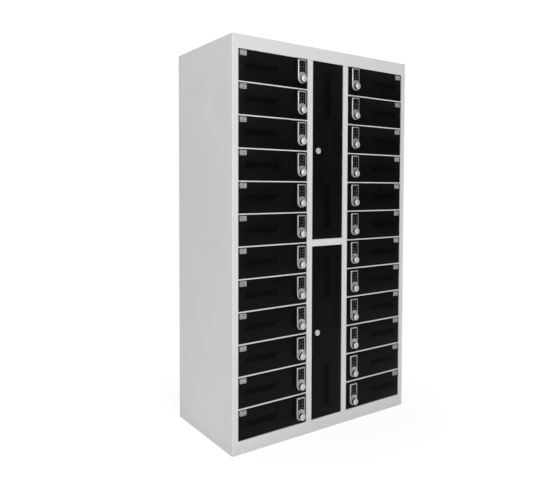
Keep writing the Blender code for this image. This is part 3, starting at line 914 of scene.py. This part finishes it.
def build_keypad_locks():
    """Housing, bezel, keypad and key figures of every compartment lock."""
    finishes = {
        "lock_housing": ("cast metal", "door_powder_coat"),
        "lock_bezel": ("shaded bezel metal", "nickel_plate"),
        "keypad": ("keypad rubber", "door_powder_coat"),
        "key_figures": ("key ink", "liner_powder_coat"),
    }
    keys = key_tree()
    for side, sign in SIDES.items():
        for prefix, mesh in lock_meshes(sign, keys).items():
            finish_rows(prefix, side, mesh, *finishes[prefix])


def cam_outline(centre, reach):
    """Outline of a locking cam that points up from its hub."""
    tip_radius, hub_radius = 0.006, 0.009
    tip = (centre[0], centre[1] + reach - tip_radius)
    lean = math.degrees(math.asin((hub_radius - tip_radius) / (reach - tip_radius)))
    outline = arc(tip, tip_radius, lean, 180 - lean, 10)
    return outline + arc(centre, hub_radius, 180 - lean, 360 + lean, 18)


def turning_part(name, head, centre, back, reach):
    """Mesh of a lock's turning part: turned head, spindle, and a locking cam with its washer and nut."""
    nut_radius, washer_radius = 0.0075, 0.0085
    cam_front = back - CAM_THICKNESS
    washer_front = cam_front - 0.0012
    nut_front = washer_front - 0.003
    cam = settle(soften(prism("cam", cam_outline(centre, reach), cam_front, back), 0.0004))
    hexagon = arc(centre, nut_radius, 0, 300, 5)
    nut = settle(soften(prism("nut", hexagon, nut_front, washer_front), 0.0004))
    bm = bmesh.new()
    for mesh in (head, cam, nut):
        bm.from_mesh(mesh)
    root = max(vert.co.y for vert in head.vertices) - 0.001
    chamfer = 0.0006
    add_turned(bm, [(0, root), (SPINDLE_RADIUS, root), (SPINDLE_RADIUS, back - chamfer),
                    (SPINDLE_RADIUS - chamfer, back), (0, back)], centre, 32)
    add_turned(bm, rod_profile(washer_radius, washer_front, cam_front - SKIN), centre, 32)
    bmesh.ops.recalc_face_normals(bm, faces=bm.faces)
    return shade_by_angle(spent_mesh(name, bm))


def knob_head(centre):
    """Meshes of a knob's plated head and of the dark ridged ring in a channel round its side, painted shade
    and painted reflection.
    """
    front, back = KNOB_LOW.y, HOUSING_FRONT - 0.0003
    radius, edge, core = 0.0145, 0.0011, 0.0136
    shoulder = front + edge
    profile = [(0, back), (radius - 0.0004, back), (radius, back - 0.0004), (radius, back - 0.0012),
               (core, back - 0.0014), (core, shoulder + 0.0006), (radius, shoulder + 0.0004),
               (radius, shoulder)]
    for turn in map(math.radians, (22, 45, 67, 90)):
        profile.append((radius - edge + edge * math.cos(turn), shoulder - edge * math.sin(turn)))
    profile += [(radius - 0.0028, front), (radius - 0.0031, front + 0.0003), (radius - 0.0034, front),
                (0, front)]

    # The dark ring stands for shade and dark reflection on the knob's side: painted shade.
    low, high = shoulder + 0.0007, back - 0.0016
    inside, base, valley = core + 0.0001, core + 0.0004, radius - 0.0003
    ridges = 9
    grip = [(inside, low), (base, low)]
    for ridge in range(ridges):
        start = low + (high - low) * (ridge + 0.15) / ridges
        grip += [(radius, start), (radius, start + 0.0005), (valley, start + 0.0007),
                 (valley, start + 0.0009)]
    grip += [(base, high), (inside, high), (inside, low)]
    head_mesh = settle(turned("head", profile, centre, 64))
    return head_mesh, shade_by_angle(settle(turned("grip", grip, centre, 64)))


def build_knobs():
    """The turning knob of every compartment lock, with its spindle, cam and dark side ring of painted shade.
    """
    for side, sign in SIDES.items():
        centre = (sign * SPINDLE.x, SPINDLE.z)
        head, grip = knob_head(centre)
        mesh = turning_part("knob", head, centre, KNOB_HIGH.y, KNOB_HIGH.z - SPINDLE.z)
        finish_rows("turn_knob", side, mesh, "plated metal", "nickel_plate", "knob", stands_in=True)
        # Dark ring round each knob's side: painted shade.
        finish_rows("grip", side, grip, "keypad rubber", "door_powder_coat", "knob")


def build_number_plates():
    """A number plate in the outer top corner of every compartment door, with its figures and border line."""
    sizes = bpy.context.scene.kiosk_plates
    top = PIVOT.z + LEAF_HALF_HEIGHT - sizes.top_margin
    rear = LEAF_FRONT - SKIN / 2
    front = rear - sizes.thickness
    for side, sign in SIDES.items():
        outer = sign * (LEAF_HIGH.x - sizes.side_margin)
        x_low, x_high = sorted((outer, outer - sign * sizes.width))
        low, high = (x_low, top - sizes.height), (x_high, top)
        plate_mesh = settle(soften(inset_slab("plate", low, high, 0, 0.003, 5, front, rear), 0.0004))
        finish_rows("number_plate", side, plate_mesh, "plate plastic", "liner_powder_coat")
        border = inset_slab("border", low, high, 0.0026, 0.0018, 4, front - SKIN, front + SKIN)
        inside = inset_slab("inside", low, high, 0.0042, 0.0012, 4, front - 0.001, front + 0.001)
        border_mesh = settle(carve(border, (inside,)), (inside,))
        middle = Vector(((x_low + x_high) / 2, front - SKIN / 2, top - sizes.height / 2))
        for row in range(ROWS):
            number = row + 1 + (0 if sign < 0 else ROWS)
            label = f"{side}_{row + 1:02d}"
            printed = joined("figures", [(figures(f"{number:02d}", sizes.figure, SKIN), middle),
                                         (border_mesh, Vector())])
            finish_piece(f"plate_figures_{label}", moved_copy(settle(printed), row_offset(row)), "plate ink",
                         f"door_{label}")


def build_service_doors():
    """Both tall doors: folded tray, two stacks of level slots, near-black pans of painted shade behind them,
    hinge pins and cam lock.
    """
    sizes = bpy.context.scene.kiosk_service_leaves
    vents = vent_tree()
    stack = (sizes.slots - 1) * sizes.slot_pitch
    screen_half, screen_margin = 0.024, 0.009
    for which in ("upper", "lower"):
        node = f"service_door_{which}"
        low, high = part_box(node)
        z_low, z_high = low.z + PIN_REACH, high.z - PIN_REACH
        middle = (low.x + high.x) / 2
        hinge = Vector(JOINTS[node + "_hinge"]["pos_m"])
        lock = Vector(JOINTS[f"service_plug_{which}_turn"]["pos_m"])
        centre = (lock.x, lock.z)
        tray = leaf_shell("service_tray", low.x, high.x, z_low, z_high)
        for start, step in ((z_high - sizes.stack_margin, -1), (z_low + sizes.stack_margin, 1)):
            run_tree(tray, vents, slots=sizes.slots, first=(middle, LEAF_FRONT, start),
                     step=(0, 0, step * sizes.slot_pitch), slot_length=sizes.slot_length,
                     slot_width=sizes.slot_width, turn=math.radians(90))
        bore = turned("bore", rod_profile(0.0092, 0, LEAF_FRONT - THROUGH), centre, 40)
        mesh = settle(carve(tray, (bore,)), (bore,))
        mesh = shade_by_angle(add_hinge_pins(mesh, hinge.x, z_low, z_high))
        finish_piece(f"leaf_service_{which}", mesh, "door coat", node, (node,))
        stack_starts = {"top": z_high - sizes.stack_margin - stack, "bottom": z_low + sizes.stack_margin}
        # Near-black pans behind both slot stacks: painted shade.
        for place, start in stack_starts.items():
            screen = vent_filter((middle - screen_half, start - screen_margin),
                                 (middle + screen_half, start + stack + screen_margin))
            finish_piece(f"vent_filter_service_{which}_{place}", screen, "painted shade cloth", node)
        collar = turned("collar", ring_profile(0.0087, 0.0135, LEAF_FRONT - SKIN, low.y, 0.0007), centre, 56)
        finish_piece(f"lock_collar_{which}", shade_by_angle(settle(collar)), "plated metal", node)
        build_plug(which, centre)


def build_plug(which, centre):
    """The turning plug of a service door's cam lock, with its keyway, spindle and cam."""
    node = f"service_plug_{which}"
    low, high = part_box(node)
    root, radius, chamfer = LEAF_FRONT + 0.004, 0.008, 0.0005
    head = turned("plug", [(0, root), (radius, root), (radius, low.y + chamfer), (radius - chamfer, low.y),
                           (0, low.y)], centre, 48)
    keyway = slab("keyway", centre, 0.0007, 0.004, 0.0006, 2, low.y - 0.001, low.y + 0.004)
    head_mesh = settle(carve(head, (keyway,)), (keyway,))
    mesh = turning_part(node, head_mesh, centre, high.y, high.z - centre[1])
    finish_piece(f"turn_{node}", mesh, "plated metal", node, (node,))


def build_cabinet():
    """Cabinet skin, mid stiles with their webs, compartment floors and the centre rail."""
    width = bpy.context.scene.kiosk_coats.edge_radius
    for node in ("cabinet_shell", "partition_left", "partition_right", "centre_rail"):
        softened_node(node, width, "frame coat")
    for side in SIDES:
        softened_node(f"rack_{side}", width, "liner coat")


def build_rear_cover():
    """Rear cover with vent stacks, its screws and the grommet of the cable entry."""
    low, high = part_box("rear_panel")
    outside = high.y - 0.0006
    skin = high.y - 0.0015
    entry, entry_radius = (0.380, 0.120), 0.0125
    bore_radius, sleeve_radius, flange_radius = 0.0085, 0.0122, 0.0165
    panel = prism("rear", rectangle((low.x, low.z), (high.x, high.z)), skin, outside)
    hole = turned("entry", rod_profile(entry_radius, skin - THROUGH, high.y + THROUGH), entry, 40)
    carve(panel, (hole,))
    vents = vent_tree()
    stack_columns, stack_bottoms = (-0.30, 0.30), (0.20, 1.42)
    for x in stack_columns:
        for z in stack_bottoms:
            run_tree(panel, vents, slots=14, first=(x, skin, z), step=(0, 0, 0.011), slot_length=0.09,
                     slot_width=0.0045, turn=math.radians(90))
    mesh = settle(panel, (hole,))
    finish_piece("rear_cover", shade_by_angle(mesh), "frame coat", "cabinet",
                 ("rear_panel",))

    flange = turned("grommet", ring_profile(bore_radius, flange_radius, outside, high.y - 0.0004, 0.0003)[:6],
                    entry, 40)
    bm = bmesh.new()
    bm.from_mesh(settle(flange))
    sleeve_end = high.y - 0.0002
    add_turned(bm, [(bore_radius, low.y), (sleeve_radius, low.y), (sleeve_radius, sleeve_end),
                    (bore_radius, sleeve_end), (bore_radius, low.y)], entry, 40)
    sleeve = settle(loose("sleeve", bm))
    finish_piece("cable_grommet", shade_by_angle(sleeve), "outlet plastic", "cabinet")

    seat, head_radius, screw_margin = outside - SKIN, 0.0042, 0.012
    head = turned("screw", [(0, seat), (head_radius, seat), (head_radius, outside + 0.0002),
                            (0.003, high.y), (0, high.y)], (0, 0), 20)
    arms = [slab("arm", (0, 0), half_width, half_height, 0.0003, 2, outside + 0.0002, high.y + 0.001)
            for half_width, half_height in ((0.0023, 0.0004), (0.0004, 0.0023))]
    thing = linked("screws", settle(carve(head, arms), arms))
    run_tree(thing, border_tree("Cover screws", "plated metal"), width=high.x - low.x - 2 * screw_margin,
             height=high.z - low.z - 2 * screw_margin, count=26, centre=(0, 0, (low.z + high.z) / 2))
    finish_piece("cover_screws", shade_by_angle(settle(thing)), "plated metal", "cabinet")


def build_charging_outlets():
    """A charging outlet with two sockets in the back wall of each compartment."""
    low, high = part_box("rack_right")
    wall = high.y - 0.0012
    below_ceiling = 0.023
    z = PIVOT.z + LEAF_HALF_HEIGHT + 0.0015 - below_ceiling
    repeat = row_tree("Outlets", "outlet plastic")
    for side, sign in SIDES.items():
        x = sign * (low.x + high.x) / 2
        frame_plate = slab("outlet", (x, z), 0.026, 0.0125, 0.003, 4, wall - 0.003, wall - 0.0002)
        plug_body = slab("outlet_body", (x, z), 0.019, 0.0062, 0.001, 2, wall - 0.001, wall + 0.018)
        ports = [slab("port", (x + at, z), 0.0062, 0.0024, 0.0004, 1, wall - THROUGH, wall + 0.010)
                 for at in (-0.0095, 0.0095)]
        outlet = soften(carve(carve(frame_plate, (plug_body,), "UNION"), ports), 0.0004)
        thing = linked("outlets", settle(outlet, (plug_body, *ports)))
        run_tree(thing, repeat, count=ROWS, step=(0, 0, -ROW_PITCH))
        finish_piece(f"charging_outlets_{side}", shade_by_angle(settle(thing)), "outlet plastic", "cabinet")


def build_power_unit():
    """Case of the power supply with vent slots in its front."""
    low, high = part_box("power_unit")
    case = clean_sheet("power_unit")
    vents = vent_tree()
    for x in (-0.03, 0.03):
        run_tree(case, vents, slots=10, first=(x, low.y + 0.004, high.z - 0.05), step=(0, 0, -0.012),
                 slot_length=0.04, slot_width=0.004, turn=math.radians(90), depth=0.03)
    mesh = shade_by_angle(settle(soften(case, 0.0004)))
    finish_piece("power_unit_case", mesh, "unit paint", "cabinet", ("power_unit",))


# ---------------------------------------------------------------- stage

BACKDROP_STRENGTH = 1.05


def build_floor():
    """A wide plain pale floor that brightens into the white surround away from the cabinet."""
    bm = bmesh.new()
    bmesh.ops.create_circle(bm, cap_ends=True, segments=96, radius=4.5)
    floor = loose("stage_floor", bm)
    floor.location.z = FLOOR_LEVEL - 2 * SKIN
    tone = bpy.context.scene.kiosk_stage.floor_tone
    material, tree, shader, place = new_look("stage_floor", (tone, tone, tone), 0.9, specular=0.1)
    reach = add_node(tree, "ShaderNodeVectorMath", links={0: place}, operation="LENGTH").outputs["Value"]
    fade = add_node(tree, "ShaderNodeMapRange",
                    {"From Min": 0.4, "From Max": 1.6, "To Min": 0.84, "To Max": 1.0},
                    {"Value": reach}, interpolation_type="SMOOTHSTEP").outputs["Result"]
    seen = tree.nodes.new("ShaderNodeLightPath").outputs["Is Camera Ray"]
    glow = add_node(tree, "ShaderNodeEmission", {"Color": (1, 1, 1, 1), "Strength": BACKDROP_STRENGTH})
    blend = add_node(tree, "ShaderNodeMixShader",
                     links={0: multiply(tree, fade, seen), 1: shader.outputs["BSDF"],
                            2: glow.outputs["Emission"]})
    tree.links.new(blend.outputs["Shader"], tree.nodes["Material Output"].inputs["Surface"])
    floor.data.materials.append(material)


def build_surround():
    """White backdrop for the camera, and for all else a soft light that is strongest overhead."""
    stage = bpy.context.scene.kiosk_stage
    world = bpy.data.worlds.new("studio")
    world.use_nodes = True
    bpy.context.scene.world = world
    tree = world.node_tree
    backdrop = tree.nodes["Background"]
    backdrop.inputs["Color"].default_value = (1, 1, 1, 1)
    backdrop.inputs["Strength"].default_value = BACKDROP_STRENGTH
    direction = add_node(tree, "ShaderNodeTexCoord").outputs["Generated"]
    height = add_node(tree, "ShaderNodeSeparateXYZ", links={"Vector": direction}).outputs["Z"]
    strength = add_node(tree, "ShaderNodeMapRange",
                        {"From Min": 0.09, "From Max": 0.34,
                         "To Min": stage.horizon, "To Max": stage.overhead},
                        {"Value": height}, interpolation_type="SMOOTHSTEP").outputs["Result"]
    even = add_node(tree, "ShaderNodeBackground", {"Color": (1, 1, 1, 1)}, {"Strength": strength})
    path = tree.nodes.new("ShaderNodeLightPath")
    pick = add_node(tree, "ShaderNodeMixShader", links={0: path.outputs["Is Camera Ray"],
                                                        1: even.outputs["Background"],
                                                        2: backdrop.outputs["Background"]})
    tree.links.new(pick.outputs["Shader"], tree.nodes["World Output"].inputs["Surface"])


def add_softbox(name, place, aim, size, power):
    """A square soft light at a place, turned towards a point."""
    lamp = bpy.data.lights.new(name, "AREA")
    lamp.size = size
    lamp.energy = power
    thing = linked(name, lamp)
    thing.location = place
    thing.rotation_euler = (Vector(aim) - Vector(place)).to_track_quat("-Z", "Y").to_euler()


def build_lights():
    """Soft light from the front left and from the left side."""
    stage = bpy.context.scene.kiosk_stage
    add_softbox("front_softbox", (-1.2, -3.6, 2.4), (0, 0, 0.9), 2.4, stage.front_power)
    add_softbox("side_softbox", (-3.8, 0.4, 2.6), (0, 0, 1.2), 2.4, stage.side_power)


def build_camera():
    """Camera to the front left at chest height, looking slightly down at the cabinet."""
    camera = bpy.data.cameras.new("view")
    camera.sensor_width = 36.0
    camera.lens = bpy.context.scene.kiosk_stage.lens
    camera.shift_x = 0.0076
    camera.shift_y = -0.0557
    thing = linked("view", camera)
    thing.location = (-1.6424, -2.1994, 1.0984)
    thing.rotation_euler = [math.radians(angle) for angle in (90 - 2.021, -0.148, -34.808)]
    bpy.context.scene.camera = thing


# ---------------------------------------------------------------- operators and panel

class KIOSK_OT_cabinet(bpy.types.Operator):
    """Build the cabinet's folded sheet parts"""

    bl_idname = "kiosk.cabinet"
    bl_label = "Cabinet"
    bl_options = {"REGISTER", "UNDO"}

    def execute(self, context):
        build_cabinet()
        return {"FINISHED"}


class KIOSK_OT_rear_cover(bpy.types.Operator):
    """Build the rear cover, its screws and grommet"""

    bl_idname = "kiosk.rear_cover"
    bl_label = "Rear Cover"
    bl_options = {"REGISTER", "UNDO"}

    def execute(self, context):
        build_rear_cover()
        return {"FINISHED"}


class KIOSK_OT_power_unit(bpy.types.Operator):
    """Build the power unit's case"""

    bl_idname = "kiosk.power_unit"
    bl_label = "Power Unit"
    bl_options = {"REGISTER", "UNDO"}

    def execute(self, context):
        build_power_unit()
        return {"FINISHED"}


class KIOSK_OT_outlets(bpy.types.Operator):
    """Build the outlets of the compartments"""

    bl_idname = "kiosk.outlets"
    bl_label = "Charging Outlets"
    bl_options = {"REGISTER", "UNDO"}

    def execute(self, context):
        build_charging_outlets()
        return {"FINISHED"}


class KIOSK_OT_doors(bpy.types.Operator):
    """Build the slotted compartment doors"""

    bl_idname = "kiosk.doors"
    bl_label = "Compartment Doors"
    bl_options = {"REGISTER", "UNDO"}

    def execute(self, context):
        build_compartment_doors()
        return {"FINISHED"}


class KIOSK_OT_locks(bpy.types.Operator):
    """Build the housings, bezels and keypads"""

    bl_idname = "kiosk.locks"
    bl_label = "Keypad Locks"
    bl_options = {"REGISTER", "UNDO"}

    def execute(self, context):
        build_keypad_locks()
        return {"FINISHED"}


class KIOSK_OT_knobs(bpy.types.Operator):
    """Build the turning knobs with their cams"""

    bl_idname = "kiosk.knobs"
    bl_label = "Knobs"
    bl_options = {"REGISTER", "UNDO"}

    def execute(self, context):
        build_knobs()
        return {"FINISHED"}


class KIOSK_OT_plates(bpy.types.Operator):
    """Build the numbered plates"""

    bl_idname = "kiosk.plates"
    bl_label = "Number Plates"
    bl_options = {"REGISTER", "UNDO"}

    def execute(self, context):
        build_number_plates()
        return {"FINISHED"}


class KIOSK_OT_service_doors(bpy.types.Operator):
    """Build the tall doors and their cam locks"""

    bl_idname = "kiosk.service_doors"
    bl_label = "Service Doors"
    bl_options = {"REGISTER", "UNDO"}

    def execute(self, context):
        build_service_doors()
        return {"FINISHED"}


class KIOSK_OT_stage(bpy.types.Operator):
    """Build the floor, the light and the camera"""

    bl_idname = "kiosk.stage"
    bl_label = "Stage"
    bl_options = {"REGISTER", "UNDO"}

    def execute(self, context):
        build_floor()
        build_surround()
        build_lights()
        build_camera()
        return {"FINISHED"}


OPERATORS = (
    KIOSK_OT_cabinet,
    KIOSK_OT_rear_cover,
    KIOSK_OT_power_unit,
    KIOSK_OT_outlets,
    KIOSK_OT_doors,
    KIOSK_OT_locks,
    KIOSK_OT_knobs,
    KIOSK_OT_plates,
    KIOSK_OT_service_doors,
    KIOSK_OT_stage,
)


class KIOSK_PT_sidebar(bpy.types.Panel):
    """Lists the kiosk's operators and sizes."""

    bl_label = "Phone Charging Kiosk"
    bl_space_type = "VIEW_3D"
    bl_region_type = "UI"
    bl_category = "Kiosk"

    def draw(self, context):
        for operator in OPERATORS:
            self.layout.operator(operator.bl_idname)
        for key, group in SIZE_GROUPS.items():
            box = self.layout.box()
            for name in group.__annotations__:
                box.prop(getattr(context.scene, key), name)


def register():
    """Register the classes and give every scene the kiosk's sizes."""
    for group in SIZE_GROUPS.values():
        bpy.utils.register_class(group)
    for key, group in SIZE_GROUPS.items():
        setattr(bpy.types.Scene, key, PointerProperty(type=group))
    for operator in OPERATORS:
        bpy.utils.register_class(operator)
    bpy.utils.register_class(KIOSK_PT_sidebar)


def unregister():
    """Take away what register gave."""
    bpy.utils.unregister_class(KIOSK_PT_sidebar)
    for operator in reversed(OPERATORS):
        bpy.utils.unregister_class(operator)
    for key in SIZE_GROUPS:
        delattr(bpy.types.Scene, key)
    for group in SIZE_GROUPS.values():
        bpy.utils.unregister_class(group)


def main():
    """Build everything."""
    register()
    bpy.context.scene.view_settings.view_transform = "Standard"
    bpy.ops.kiosk.cabinet()
    bpy.ops.kiosk.rear_cover()
    bpy.ops.kiosk.power_unit()
    bpy.ops.kiosk.outlets()
    bpy.ops.kiosk.doors()
    bpy.ops.kiosk.locks()
    bpy.ops.kiosk.knobs()
    bpy.ops.kiosk.plates()
    bpy.ops.kiosk.service_doors()
    bpy.ops.kiosk.stage()


if __name__ == "__main__":
    main()
